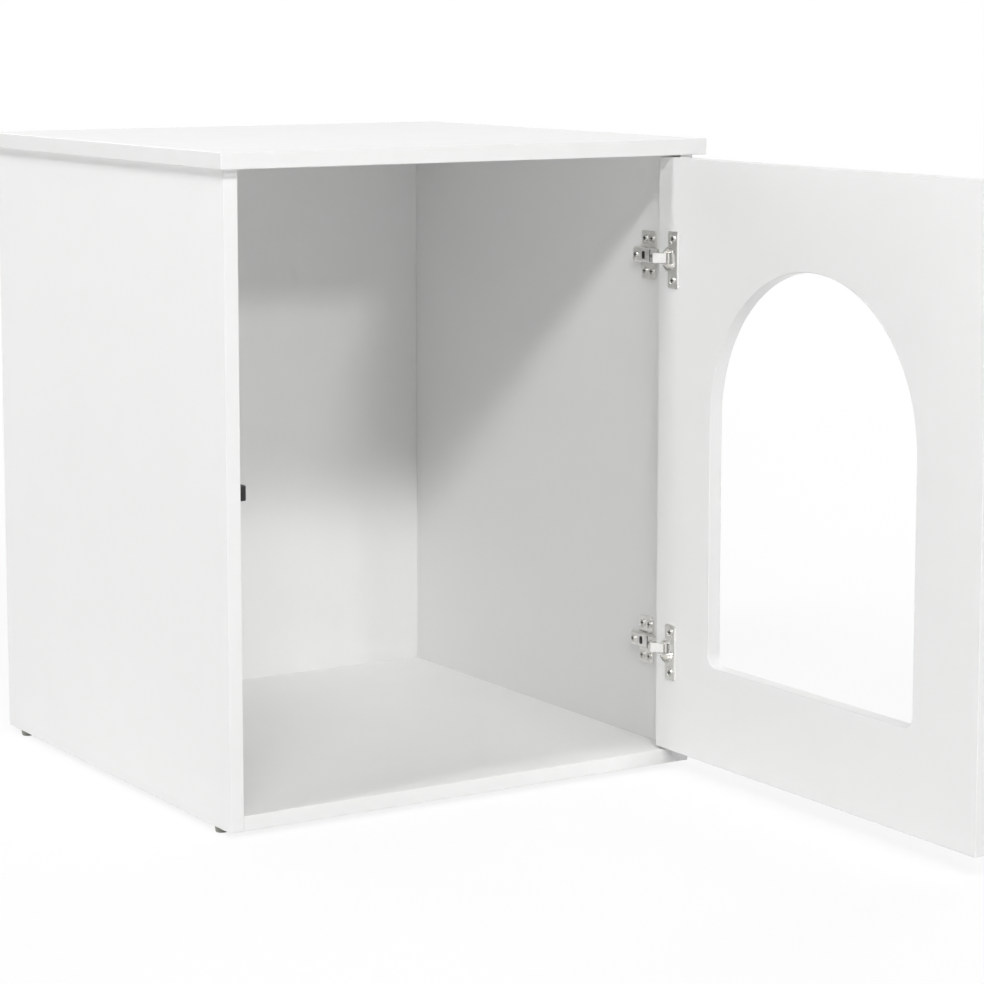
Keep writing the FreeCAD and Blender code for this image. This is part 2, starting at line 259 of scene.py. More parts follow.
def round_edges(piece: Piece, test: EdgeTest, radius: float, steps: int) -> None:
    """Round the edges that pass a test.

    Args:
        piece: The piece to shape.
        test: Picks the edges.
        radius: Radius of the rounding.
        steps: Facets across it.
    """
    with editing(piece, Choice.EDGES) as mesh:
        choose(piece, mesh.edges, test)
        bpy.ops.mesh.bevel(offset=radius, segments=steps, profile=0.5, affect="EDGES",
                           clamp_overlap=False)
        bpy.ops.mesh.select_all(action="SELECT")
        bpy.ops.mesh.remove_doubles(threshold=MERGE_DISTANCE)


def is_sharp(edge: Edge) -> bool:
    """Tell whether an edge turns by more than a soft bend."""
    return edge.is_manifold and edge.calc_face_angle() > SHARP_ANGLE


def sharp_above(level: float) -> EdgeTest:
    """Return a test for sharp edges that lie above a level."""
    return lambda edge: is_sharp(edge) and all(vert.co.z > level for vert in edge.verts)


def middle_of(edge: Edge) -> Vector:
    """Return the middle of an edge."""
    return (edge.verts[0].co + edge.verts[1].co) / 2


def middle_of_node(node: str) -> Vector:
    """Return the middle of a node's box."""
    low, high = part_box(node)
    return (low + high) / 2


def apply_modifier(piece: Piece, kind: str, **settings: object) -> None:
    """Shape a piece with a modifier.

    Args:
        piece: The piece to shape.
        kind: Type of the modifier.
        settings: Its settings by name.
    """
    pick(piece)
    bpy.ops.object.modifier_add(type=kind)
    modifier = piece.modifiers[-1]
    for name, value in settings.items():
        setattr(modifier, name, value)
    bpy.ops.object.modifier_apply(modifier=modifier.name)


def use_up(piece: Piece, merge: Merge, tools: Sequence[Piece]) -> None:
    """Weld tools to a piece, or carve them out of it, and take them away.

    Args:
        piece: The piece that stays.
        merge: What the tools do.
        tools: The pieces that are used up.
    """
    for tool in tools:
        apply_modifier(piece, "BOOLEAN", operation=merge.value, solver="EXACT", object=tool)
        bpy.data.objects.remove(tool)


def carve(piece: Piece, *tools: Piece) -> None:
    """Cut tools out of a piece."""
    use_up(piece, Merge.CARVE, tools)


def weld(piece: Piece, *tools: Piece) -> None:
    """Make tools one with a piece."""
    use_up(piece, Merge.WELD, tools)


def join(name: str, pieces: Sequence[Piece]) -> Piece:
    """Gather separate shells into one piece.

    Args:
        name: Name of the piece.
        pieces: The shells, which become part of the first.

    Returns:
        The piece.
    """
    pick(pieces[0])
    for piece in pieces:
        piece.select_set(True)
    bpy.ops.object.join()
    pieces[0].name = name
    return pieces[0]


def smooth(piece: Piece) -> None:
    """Shade a piece's soft bends smooth and keep its flats flat.

    Args:
        piece: The piece to shade.
    """
    pick(piece)
    bpy.ops.object.shade_smooth_by_angle(angle=SOFT_ANGLE)
    apply_modifier(piece, "WEIGHTED_NORMAL", keep_sharp=True)


def lift(model: Piece) -> bpy.types.Mesh:
    """Take a model away and keep its mesh, under the model's name.

    Args:
        model: The piece to copy later, at the origin.

    Returns:
        Its mesh.
    """
    mesh = model.data
    mesh.name = model.name
    bpy.data.objects.remove(model)
    return mesh


def copies(mesh: bpy.types.Mesh, places: Sequence[Matrix]) -> list[Piece]:
    """Set a copy of a model at each place.

    Args:
        mesh: The model's mesh.
        places: Where the copies go.

    Returns:
        The copies in that order, each settled and with its own mesh.
    """
    made = []
    for place in places:
        copy = bpy.data.objects.new(mesh.name, mesh.copy())
        bpy.context.collection.objects.link(copy)
        copy.matrix_world = place
        settle(copy)
        made.append(copy)
    return made


def facing(place: Vector, way: Vector) -> Matrix:
    """Return the matrix that sets a model at a place with its top facing a way."""
    turn = Axis.Z.vector().rotation_difference(way)
    return Matrix.Translation(place) @ turn.to_matrix().to_4x4()


def dress_faces(piece: Piece, finish: Finish, test: FaceTest) -> None:
    """Give the faces that pass a test another finish.

    Args:
        piece: The piece, which has its first finish already.
        finish: The finish for those faces.
        test: Picks the faces.
    """
    piece.data.materials.append(finish.material())
    with editing(piece, Choice.FACES) as mesh:
        choose(piece, mesh.faces, test)
        piece.active_material_index = len(piece.data.materials) - 1
        bpy.ops.object.material_slot_assign()


# Finishes


@dataclass
class Wiring:
    """A node tree while it is wired."""

    tree: bpy.types.NodeTree

    def add(self, kind: str, **values: object) -> bpy.types.Node:
        """Add a node.

        Args:
            kind: Its type, without the leading ShaderNode.
            values: What its inputs hold, by name, with spaces as underscores.

        Returns:
            The new node.
        """
        node = self.tree.nodes.new(f"ShaderNode{kind}")
        for name, value in values.items():
            self.feed(node, name.replace("_", " "), value)
        return node

    def feed(self, node: bpy.types.Node, place: str | int, value: object) -> None:
        """Set or link one input of a node.

        Args:
            node: The node.
            place: Name or number of the input.
            value: A socket to link, or a plain value.
        """
        if isinstance(value, Socket):
            self.tree.links.new(value, node.inputs[place])
        else:
            node.inputs[place].default_value = value

    def calculate(self, operation: str, *values: float | Socket) -> Socket:
        """Work out a number from others.

        Args:
            operation: What is done with them.
            values: Sockets or plain numbers, in order.

        Returns:
            The result.
        """
        node = self.add("Math")
        node.operation = operation
        for place, value in enumerate(values):
            self.feed(node, place, value)
        return node.outputs[0]

    def spread(self, value: Socket, ends: tuple[float, float], low: float | Socket,
               high: float | Socket) -> Socket:
        """Map a range of values to another.

        Args:
            value: What is mapped.
            ends: The ends of its range.
            low: What the first end becomes.
            high: What the other end becomes.

        Returns:
            The mapped value.
        """
        first, last = ends
        node = self.add("MapRange", Value=value, From_Min=first, From_Max=last,
                        To_Min=low, To_Max=high)
        return node.outputs["Result"]

    def noise(self, place: Socket, scale: Socket, detail: float) -> Socket:
        """Return a noise from 0 to 1 over the surface."""
        return self.add("TexNoise", Vector=place, Scale=scale, Detail=detail).outputs["Fac"]

    def effect(self, effect: Effect, **values: object) -> Socket:
        """Place an effect that finishes share.

        Args:
            effect: The effect.
            values: What its inputs hold, by name.

        Returns:
            Its one output.
        """
        node = self.add("Group")
        node.node_tree = effect.group()
        for name, value in values.items():
            self.feed(node, name, value)
        return node.outputs[0]


class SocketKind(Enum):
    """What a socket of an effect holds."""

    COLOR = "NodeSocketColor"
    VECTOR = "NodeSocketVector"
    FLOAT = "NodeSocketFloat"


@dataclass
class GroupWiring(Wiring):
    """An effect's group while it is wired, with its inputs by name and its way out."""

    given: dict[str, Socket]
    leave: bpy.types.Node

    @classmethod
    def start(cls, name: str, output: str, kind: SocketKind, **inputs: SocketKind) -> GroupWiring:
        """Start a group.

        Args:
            name: Name of the group.
            output: Name of its output.
            kind: What the output holds.
            inputs: What each input holds, by name.

        Returns:
            The group's wiring.
        """
        tree = bpy.data.node_groups.new(name, "ShaderNodeTree")
        for label, holds in inputs.items():
            tree.interface.new_socket(label, in_out="INPUT", socket_type=holds.value)
        tree.interface.new_socket(output, in_out="OUTPUT", socket_type=kind.value)
        entry = tree.nodes.new("NodeGroupInput")
        leave = tree.nodes.new("NodeGroupOutput")
        return cls(tree, {label: entry.outputs[label] for label in inputs}, leave)

    def put_out(self, socket: Socket) -> bpy.types.NodeTree:
        """Link the group's output and return the finished group."""
        self.tree.links.new(socket, self.leave.inputs[0])
        return self.tree


CLOUD_DETAIL = 2.0
SWELL_DETAIL = 1.0
# The part of a noise's range that each effect stretches over its own.
TINT_ENDS = (0.25, 0.75)
GLOSS_ENDS = (0.3, 0.7)
SCUFF_ENDS = (0.35, 0.7)
FULL_RANGE = (0.0, 1.0)


def build_tint(name: str) -> bpy.types.NodeTree:
    """Build a slow drift of a colour's brightness.

    Args:
        name: Name of the group.

    Returns:
        The group.
    """
    group = GroupWiring.start(name, "Color", SocketKind.COLOR, Vector=SocketKind.VECTOR,
                              Color=SocketKind.COLOR, Scale=SocketKind.FLOAT, Amount=SocketKind.FLOAT)
    cloud = group.noise(group.given["Vector"], group.given["Scale"], CLOUD_DETAIL)
    centred = group.spread(cloud, TINT_ENDS, -1.0, 1.0)
    drift = group.calculate("MULTIPLY_ADD", centred, group.given["Amount"], 1.0)
    tinted = group.add("HueSaturation", Value=drift, Color=group.given["Color"])
    return group.put_out(tinted.outputs["Color"])


def build_roughness(name: str) -> bpy.types.NodeTree:
    """Build a patchy roughness between two levels.

    Args:
        name: Name of the group.

    Returns:
        The group.
    """
    group = GroupWiring.start(name, "Roughness", SocketKind.FLOAT, Vector=SocketKind.VECTOR,
                              Scale=SocketKind.FLOAT, Low=SocketKind.FLOAT, High=SocketKind.FLOAT)
    cloud = group.noise(group.given["Vector"], group.given["Scale"], CLOUD_DETAIL)
    return group.put_out(group.spread(cloud, GLOSS_ENDS, group.given["Low"], group.given["High"]))


def build_grain(name: str) -> bpy.types.NodeTree:
    """Build the height of a pressed or moulded grain, fine pits on a broader swell.

    Args:
        name: Name of the group.

    Returns:
        The group.
    """
    group = GroupWiring.start(name, "Height", SocketKind.FLOAT, Vector=SocketKind.VECTOR,
                              Scale=SocketKind.FLOAT, Pits=SocketKind.FLOAT)
    place, scale = group.given["Vector"], group.given["Scale"]
    swell = group.noise(place, scale, SWELL_DETAIL)
    cells = group.add("TexVoronoi", Vector=place, Scale=scale)
    height = group.calculate("MULTIPLY_ADD", cells.outputs["Distance"], group.given["Pits"], swell)
    return group.put_out(height)


def build_scuff(name: str) -> bpy.types.NodeTree:
    """Build a mask of fine straight scuffs that run along one axis.

    Args:
        name: Name of the group.

    Returns:
        The group.
    """
    group = GroupWiring.start(name, "Mask", SocketKind.FLOAT, Vector=SocketKind.VECTOR,
                              Stretch=SocketKind.VECTOR, Scale=SocketKind.FLOAT)
    drawn = group.add("Mapping", Vector=group.given["Vector"], Scale=group.given["Stretch"])
    lines = group.noise(drawn.outputs["Vector"], group.given["Scale"], CLOUD_DETAIL)
    return group.put_out(group.spread(lines, SCUFF_ENDS, *FULL_RANGE))


class Effect(Enum):
    """Effects that several finishes share, each a group of nodes."""

    TINT = "colour_drift"
    ROUGHNESS = "gloss_drift"
    GRAIN = "moulded_grain"
    SCUFF = "fine_scuffs"

    def group(self) -> bpy.types.NodeTree:
        """Return the effect's node group, built at its first use."""
        return bpy.data.node_groups.get(self.value) or EFFECT_BUILDERS[self](self.value)


EFFECT_BUILDERS: dict[Effect, Callable[[str], bpy.types.NodeTree]] = {
    Effect.TINT: build_tint,
    Effect.ROUGHNESS: build_roughness,
    Effect.GRAIN: build_grain,
    Effect.SCUFF: build_scuff,
}


@dataclass(frozen=True)
class Finish:
    """A surface: its slot in the record, its colour, gloss and grain."""

    name: str
    slot: Slot
    color: Color
    roughness: tuple[float, float]
    gloss_scale: float
    tint: float
    tint_scale: float
    grain_scale: float
    grain_depth: float
    grain_pits: float = 0.3
    metallic: float = 0.0

    def material(self) -> bpy.types.Material:
        """Return the finish's material, built at its first use."""
        return bpy.data.materials.get(self.name) or self.build()

    def build(self) -> bpy.types.Material:
        """Wire the material.

        Returns:
            The new material.
        """
        material = bpy.data.materials.new(self.name)
        material.use_nodes = True
        wiring = Wiring(material.node_tree)
        shader = material.node_tree.nodes["Principled BSDF"]
        place = wiring.add("TexCoord").outputs["Object"]
        wiring.feed(shader, "Metallic", self.metallic)
        wiring.feed(shader, "Base Color", self.tinted(wiring, place))
        wiring.feed(shader, "Roughness", self.glossed(wiring, place))
        bump = wiring.add("Bump", Height=self.height(wiring, place), Distance=self.grain_depth)
        wiring.feed(shader, "Normal", bump.outputs["Normal"])
        return material

    def tinted(self, wiring: Wiring, place: Socket) -> Socket:
        """Return the colour with its drift."""
        return wiring.effect(Effect.TINT, Vector=place, Color=(*self.color, 1.0),
                             Scale=self.tint_scale, Amount=self.tint)

    def glossed(self, wiring: Wiring, place: Socket) -> Socket:
        """Return the roughness with its patches."""
        low, high = self.roughness
        return wiring.effect(Effect.ROUGHNESS, Vector=place, Scale=self.gloss_scale, Low=low, High=high)

    def height(self, wiring: Wiring, place: Socket) -> Socket:
        """Return the height of the grain."""
        return wiring.effect(Effect.GRAIN, Vector=place, Scale=self.grain_scale, Pits=self.grain_pits)


@dataclass(frozen=True)
class DrawnFinish(Finish):
    """A finish with fine lines drawn along one axis, as rolled metal or bare wood has."""

    stretch: Place = (1.0, 1.0, 1.0)
    line_scale: float = 900.0
    line_roughness: float = 0.1
    line_tint: float = 0.0

    def tinted(self, wiring: Wiring, place: Socket) -> Socket:
        """Darken the colour along the lines.

        Args:
            wiring: The material's wiring.
            place: Where a point lies on the piece.

        Returns:
            The colour with its drift and lines.
        """
        plain = super().tinted(wiring, place)
        shade = wiring.spread(self.lines(wiring, place), FULL_RANGE, 1.0, 1.0 - self.line_tint)
        return wiring.add("HueSaturation", Value=shade, Color=plain).outputs["Color"]

    def glossed(self, wiring: Wiring, place: Socket) -> Socket:
        """Return the roughness, higher along the lines."""
        return wiring.calculate("MULTIPLY_ADD", self.lines(wiring, place), self.line_roughness,
                                super().glossed(wiring, place))

    def lines(self, wiring: Wiring, place: Socket) -> Socket:
        """Return the mask of the drawn lines."""
        return wiring.effect(Effect.SCUFF, Vector=place, Stretch=self.stretch, Scale=self.line_scale)


BOARD_WHITE = (0.87, 0.872, 0.864)

LAMINATE = Finish(
    "white_melamine", Slot.LAMINATE, BOARD_WHITE, roughness=(0.36, 0.46), gloss_scale=30.0,
    tint=0.006, tint_scale=9.0, grain_scale=900.0, grain_depth=0.02 * MM)
# A real edge band covers the board's edges. Its colour is greyer than the board's as painted shade, so
# that the lamp-lit front edges come out no brighter than the faces.
EDGE_BAND_WITH_PAINTED_SHADE = Finish(
    "edge_band_with_painted_shade", Slot.LAMINATE, (0.8, 0.802, 0.794), roughness=(0.3, 0.38), gloss_scale=60.0,
    tint=0.006, tint_scale=20.0, grain_scale=1400.0, grain_depth=0.01 * MM)
HARDBOARD = DrawnFinish(
    "white_lacquered_board", Slot.HARDBOARD, BOARD_WHITE, roughness=(0.45, 0.58), gloss_scale=40.0,
    tint=0.01, tint_scale=12.0, grain_scale=700.0, grain_depth=0.04 * MM, grain_pits=0.5,
    stretch=(1.0, 1.0, 0.15), line_tint=0.008)
NICKEL = DrawnFinish(
    "polished_nickel", Slot.NICKEL, (0.86, 0.85, 0.83), roughness=(0.14, 0.24), gloss_scale=120.0,
    tint=0.04, tint_scale=90.0, grain_scale=1500.0, grain_depth=0.01 * MM, metallic=1.0,
    stretch=(1.0, 0.1, 1.0), line_roughness=0.08)
NICKEL_SCREW = DrawnFinish(
    "nickel_screw", Slot.SCREWS, (0.72, 0.71, 0.69), roughness=(0.2, 0.32), gloss_scale=300.0,
    tint=0.05, tint_scale=200.0, grain_scale=2500.0, grain_depth=0.01 * MM, metallic=1.0,
    line_scale=1800.0)
# Painted shade: a near-black colour laid into the screws' cross recesses and the hinge plate's slot and
# groove, standing in for the shade in these hollows.
PAINTED_RECESS_SHADE = Finish(
    "painted_recess_shade", Slot.NICKEL, (0.035, 0.035, 0.036), roughness=(0.5, 0.65), gloss_scale=300.0,
    tint=0.1, tint_scale=200.0, grain_scale=1500.0, grain_depth=0.02 * MM)
ZINC = Finish(
    "bright_zinc", Slot.ZINC, (0.66, 0.67, 0.68), roughness=(0.28, 0.42), gloss_scale=300.0,
    tint=0.08, tint_scale=250.0, grain_scale=1200.0, grain_depth=0.02 * MM, metallic=1.0)
CAST_ZINC = Finish(
    "grey_cast_zinc", Slot.CAST_ZINC, (0.58, 0.58, 0.57), roughness=(0.42, 0.58), gloss_scale=200.0,
    tint=0.08, tint_scale=150.0, grain_scale=900.0, grain_depth=0.04 * MM, metallic=1.0)
CAP_PLASTIC = Finish(
    "white_cap_plastic", Slot.WHITE_PLASTIC, (0.86, 0.862, 0.854), roughness=(0.38, 0.48),
    gloss_scale=80.0, tint=0.006, tint_scale=60.0, grain_scale=1300.0, grain_depth=0.015 * MM)
FOOT_PLASTIC = Finish(
    "grey_foot_plastic", Slot.GREY_PLASTIC, (0.27, 0.27, 0.24), roughness=(0.42, 0.58),
    gloss_scale=120.0, tint=0.06, tint_scale=90.0, grain_scale=1500.0, grain_depth=0.04 * MM)
STOP_PLASTIC = Finish(
    "black_stop_plastic", Slot.BLACK_PLASTIC, (0.03, 0.03, 0.031), roughness=(0.42, 0.56),
    gloss_scale=120.0, tint=0.08, tint_scale=120.0, grain_scale=1600.0, grain_depth=0.04 * MM)
PAD_RUBBER = Finish(
    "black_pad_rubber", Slot.RUBBER, (0.02, 0.02, 0.02), roughness=(0.78, 0.92), gloss_scale=150.0,
    tint=0.15, tint_scale=200.0, grain_scale=2200.0, grain_depth=0.06 * MM, grain_pits=0.6)
BEECH = DrawnFinish(
    "bare_beech", Slot.BEECH, (0.66, 0.48, 0.30), roughness=(0.55, 0.7), gloss_scale=150.0,
    tint=0.06, tint_scale=120.0, grain_scale=900.0, grain_depth=0.03 * MM,
    stretch=(1.0, 1.0, 0.08), line_tint=0.25)


def hand_over(piece: Piece, body: Body, node: str, finish: Finish) -> None:
    """Finish a piece and let it stand for its node.

    Args:
        piece: The modelled piece.
        body: The body that it moves with.
        node: The node that it stands for.
        finish: Its main finish, which covers a piece that has none yet.
    """
    if not piece.data.materials:
        piece.data.materials.append(finish.material())
    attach(piece, body.value)
    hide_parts(node)
    LOG.info("%s rides on %s and stands for %s", piece.name, body.value, node)


# Panels


@dataclass(frozen=True)
class CamLayout:
    """Where cams sit: from the board's end, and from its front and rear edges."""

    reach: float = 24 * MM
    station: float = 70 * MM


@dataclass
class Panel:
    """A board with rounded, banded edges, the size of its node."""

    node: str
    body: Body
    thin: Axis
    face: Finish = LAMINATE
    band: Finish = EDGE_BAND_WITH_PAINTED_SHADE
    edge_radius: float = 0.8 * MM
    edge_steps: int = 3

    def build(self) -> None:
        """Model the board and hand it over."""
        board = self.blank()
        round_edges(board, is_sharp, self.edge_radius, self.edge_steps)
        self.bore(board)
        smooth(board)
        board.data.materials.append(self.face.material())
        # The edges get the band, whose greyer colour is partly painted shade.
        dress_faces(board, self.band, lambda face: abs(face.normal[self.thin.value]) < ALIGNED)
        hand_over(board, self.body, self.node, self.face)

    def blank(self) -> Piece:
        """Return the board as it is sawn."""
        return add_box(f"{self.node}_board", *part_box(self.node))

    def bore(self, board: Piece) -> None:
        """Leave the board unbored."""


@dataclass
class BasePanel(Panel):
    """The base, bored from below for its cams."""

    cams: CamLayout = CamLayout()
    cam_radius: float = 7.5 * MM
    cam_depth: float = 11 * MM

    def bore(self, board: Piece) -> None:
        """Bore the four cam holes.

        Args:
            board: The base.
        """
        low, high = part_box(self.node)
        run = Axis.Z.vector(self.cam_depth + CUT_OVERRUN)
        for x in (low.x + self.cams.reach, high.x - self.cams.reach):
            for y in (low.y + self.cams.station, high.y - self.cams.station):
                start = Vector((x, y, low.z - CUT_OVERRUN))
                carve(board, add_rod("cam_bore", self.cam_radius, start, run))


@dataclass
class DoorPanel(Panel):
    """The door leaf with its arch and the bores for its hinge cups."""

    arch_side_rail: float = 90 * MM
    arch_end_rail: float = 100 * MM
    arch_corner_radius: float = 12 * MM
    arch_steps: int = 40
    corner_steps: int = 8
    bore_radius: float = 12 * MM
    bore_depth: float = 11.4 * MM

    def blank(self) -> Piece:
        """Cut the arch out of the leaf.

        Returns:
            The leaf.
        """
        leaf = super().blank()
        low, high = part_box(self.node)
        margin = Vector((-CUT_OVERRUN, self.arch_side_rail, self.arch_end_rail))
        arch = add_box("arch", low + margin, high - margin)
        middle = (low.z + high.z) / 2
        top = high.z - self.arch_end_rail
        round_edges(arch, lambda edge: Axis.X.along(edge) and edge.verts[0].co.z < middle,
                    self.arch_corner_radius, self.corner_steps)
        round_edges(arch, lambda edge: Axis.X.along(edge) and edge.verts[0].co.z > top - MM,
                    (high.y - low.y) / 2 - self.arch_side_rail, self.arch_steps)
        carve(leaf, arch)
        return leaf

    def bore(self, board: Piece) -> None:
        """Bore the holes that take the hinge cups, and notch the edge beside them.

        Args:
            board: The leaf.
        """
        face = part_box(self.node)[0].x
        run = Axis.X.vector(self.bore_depth + CUT_OVERRUN)
        for hinge in map(CupHinge, Hinge):
            start = Vector((face - CUT_OVERRUN, hinge.cup_y, hinge.z))
            bore = add_rod("cup_bore", self.bore_radius, start, run, CUP_SIDES)
            carve(board, bore, hinge.notch.tool(hinge.pivot))


# Fasteners


@dataclass(frozen=True)
class CrossScrew:
    """A raised screw head with a cross recess, which is modelled once for all its places."""

    name: str = "wood_screw_head"
    radius: float = 3.4 * MM
    height: float = 1.0 * MM
    sides: int = 32
    dome_radius: float = 0.5 * MM
    dome_steps: int = 4
    recess_length: float = 4.6 * MM
    recess_width: float = 1.2 * MM
    recess_depth: float = 0.7 * MM
    # Half of the recess with a little room, within which a face belongs to it.
    recess_share: float = 0.51
    sunk: float = 0.5 * MM

    def model(self) -> Piece:
        """Model one head with its recess.

        Returns:
            The head, seated at the origin.
        """
        head = add_rod(self.name, self.radius, Axis.Z.vector(-self.sunk),
                       Axis.Z.vector(self.height + self.sunk), self.sides)
        round_edges(head, sharp_above(self.height / 2), self.dome_radius, self.dome_steps)
        floor = Axis.Z.vector(self.height - self.recess_depth)
        roof = Axis.Z.vector(self.height + CUT_OVERRUN)
        length, width = self.recess_length / 2, self.recess_width / 2
        for corner in (Vector((length, width, 0)), Vector((width, length, 0))):
            carve(head, add_box("recess", floor - corner, roof + corner))
        smooth(head)
        head.data.materials.append(NICKEL_SCREW.material())
        # Paints shade into the cross recess.
        dress_faces(head, PAINTED_RECESS_SHADE, self.is_recess)
        return head

    def is_recess(self, face: Face) -> bool:
        """Tell whether a face lines the cross recess.

        Args:
            face: A face of the head.

        Returns:
            Whether it lies inside the cross, below the top.
        """
        middle = face.calc_center_median()
        short, long = sorted((abs(middle.x), abs(middle.y)))
        inside = (short <= self.recess_share * self.recess_width
                  and long <= self.recess_share * self.recess_length)
        return inside and NEAR < middle.z < self.height - NEAR / 2

    def build(self, name: str, node: str, body: Body, places: Sequence[Matrix]) -> None:
        """Set heads at places and hand them over as one piece."""
        mesh = bpy.data.meshes.get(self.name) or lift(self.model())
        hand_over(join(name, copies(mesh, places)), body, node, NICKEL_SCREW)


@dataclass
class BackNails:
    """Domed nail heads on the back panel."""

    node: str = "back_panel_nails"
    radius: float = 2.5 * MM
    height: float = 0.8 * MM
    sides: int = 24
    dome_radius: float = 0.6 * MM
    dome_steps: int = 3
    height_shares: tuple[float, ...] = (0.05, 0.275, 0.5, 0.725, 0.95)
    base_shares: tuple[float, ...] = (-0.3, 0.0, 0.3)

    def build(self) -> None:
        """Model one head, copy it to every nail's place and hand them over."""
        side_low, side_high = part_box("right_side_panel")
        base_low, base_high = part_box("base_panel")
        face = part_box("back_panel")[1].y
        side_x = (side_low.x + side_high.x) / 2
        base_z = (base_low.z + base_high.z) / 2
        spots = [(x, side_low.z + share * (side_high.z - side_low.z))
                 for x in (-side_x, side_x) for share in self.height_shares]
        spots += [(share * (base_high.x - base_low.x), base_z) for share in self.base_shares]
        head = add_rod("nail_head", self.radius, Vector(), Axis.Z.vector(self.height), self.sides)
        round_edges(head, sharp_above(self.height / 2), self.dome_radius, self.dome_steps)
        smooth(head)
        places = [facing(Vector((x, face, z)), Axis.Y.vector()) for x, z in spots]
        hand_over(join("back_nail_heads", copies(lift(head), places)), Body.CABINET, self.node, ZINC)


@dataclass
class CamCaps:
    """Thin caps over the upper cams."""

    node: str = "cam_caps"
    cams: CamLayout = CamLayout()
    radius: float = 7.4 * MM
    proud: float = 0.1 * MM
    sunk: float = 1.0 * MM
    rim_radius: float = 0.09 * MM
    rim_steps: int = 3

    def build(self) -> None:
        """Model one cap, copy it to the four cams and hand them over."""
        cap = add_rod("cap", self.radius, Axis.Z.vector(-self.sunk),
                      Axis.Z.vector(self.sunk + self.proud))
        round_edges(cap, sharp_above(0), self.rim_radius, self.rim_steps)
        smooth(cap)
        places = []
        for side, way in (("left_side_panel", 1), ("right_side_panel", -1)):
            low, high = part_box(side)
            x = high.x if way > 0 else low.x
            for y in (low.y + self.cams.station, high.y - self.cams.station):
                places.append(facing(Vector((x, y, high.z - self.cams.reach)), Axis.X.vector(way)))
        discs = join("cam_cap_discs", copies(lift(cap), places))
        hand_over(discs, Body.CABINET, self.node, CAP_PLASTIC)


@dataclass
class Feet:
    """Moulded glides under the sides."""

    nodes: tuple[str, ...] = ("front_left_foot", "front_right_foot",
                              "rear_left_foot", "rear_right_foot")
    sides: int = 40
    tip_share: float = 6 / 7
    rim_radius: float = 1.0 * MM
    rim_steps: int = 4
    collar_radius: float = 0.4 * MM
    collar_steps: int = 2

    def build(self) -> None:
        """Model one glide, copy it to every foot's place and hand each over."""
        places = [Matrix.Translation(middle_of_node(node)) for node in self.nodes]
        for node, glide in zip(self.nodes, copies(lift(self.model()), places)):
            glide.name = f"{node}_glide"
            hand_over(glide, Body.CABINET, node, FOOT_PLASTIC)

    def model(self) -> Piece:
        """Model one glide, narrower at its tip.

        Returns:
            The glide, with its middle at the origin.
        """
        low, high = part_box(self.nodes[0])
        base = Axis.Z.vector((low.z - high.z) / 2)
        glide = add_rod("glide", (high.x - low.x) / 2, base, Axis.Z.vector(high.z - low.z), self.sides)
        with editing(glide, Choice.FACES) as mesh:
            choose(glide, mesh.faces, lambda face: face.normal.z < -ALIGNED)
            bpy.ops.transform.resize(value=(self.tip_share, self.tip_share, 1), center_override=base)
        round_edges(glide, lambda edge: is_sharp(edge) and middle_of(edge).z < 0,
                    self.rim_radius, self.rim_steps)
        round_edges(glide, sharp_above(0), self.collar_radius, self.collar_steps)
        smooth(glide)
        return glide


@dataclass
class DoorStop:
    """The black block that the closed door rests against."""

    node: str = "door_stop"
    pad_node: str = "door_stop_pad"
    edge_radius: float = 1.2 * MM
    pad_radius: float = 0.5 * MM
    edge_steps: int = 3
    screw_pitch: float = 18 * MM
    screw: CrossScrew = CrossScrew()

    def build(self) -> None:
        """Model the block, its pad and its screws, and hand them over."""
        for node, radius, finish in ((self.node, self.edge_radius, STOP_PLASTIC),
                                     (self.pad_node, self.pad_radius, PAD_RUBBER)):
            block = add_box(f"{node}_block", *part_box(node))
            round_edges(block, is_sharp, radius, self.edge_steps)
            smooth(block)
            hand_over(block, Body.CABINET, node, finish)
        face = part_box(self.node)[1].x
        middle = middle_of_node(self.node)
        seats = [Vector((face, middle.y + way * self.screw_pitch / 2, middle.z)) for way in (-1, 1)]
        places = [facing(seat, Axis.X.vector()) for seat in seats]
        self.screw.build("door_stop_screw_heads", "door_stop_screws", Body.CABINET, places)


# Hinges


@dataclass(frozen=True)
class HingeNotch:
    """The notch through which a hinge arm leaves its cup and the door's edge."""

    width: float = 11.2 * MM
    reach: float = 8 * MM
    inset: float = 5.5 * MM
    top: float = 13 * MM
    depth: float = 1.8 * MM

    def tool(self, pivot: Vector) -> Piece:
        """Model the tool that cuts the notch.

        Args:
            pivot: Middle of the hinge's pin.

        Returns:
            The tool.
        """
        low = pivot - Vector((self.top, self.inset, self.width / 2))
        high = pivot + Vector((self.depth, self.reach, self.width / 2))
        return add_box("notch", low, high)


